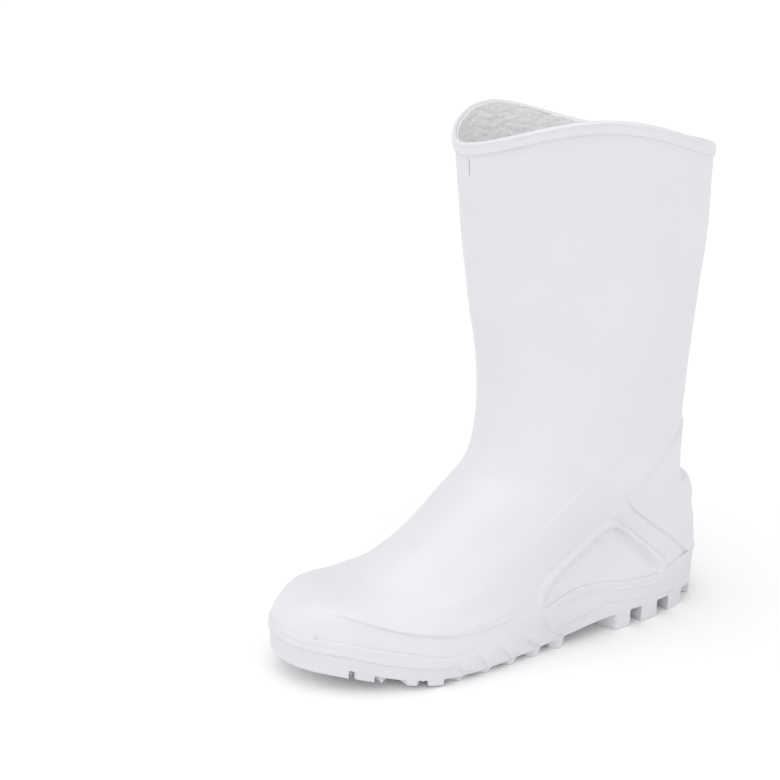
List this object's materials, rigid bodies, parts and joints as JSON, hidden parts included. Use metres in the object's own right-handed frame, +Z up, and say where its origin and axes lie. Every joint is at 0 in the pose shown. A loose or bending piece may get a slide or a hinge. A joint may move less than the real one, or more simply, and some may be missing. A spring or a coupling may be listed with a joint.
{
  "type": "wellington boot",
  "caption": "Calf-high moulded boot with a waved collar, raised heel counter and chevron rib, and a deeply lugged sole.",
  "frame": {"origin": "on the ground under the middle of the boot's box", "axes": "+Z up, the toe along -Y, the outer side of the left boot along +X"},
  "size_m": [0.1338, 0.2854, 0.3118],
  "materials": {
    "upper_pvc": "semi-gloss white PVC",
    "sole_pvc": "satin white PVC",
    "insole_textile": "pale grey knitted textile"
  },
  "bodies": {
    "root": {"upper": "upper_pvc", "outsole": "sole_pvc", "insole": "insole_textile"}
  },
  "joints": []
}
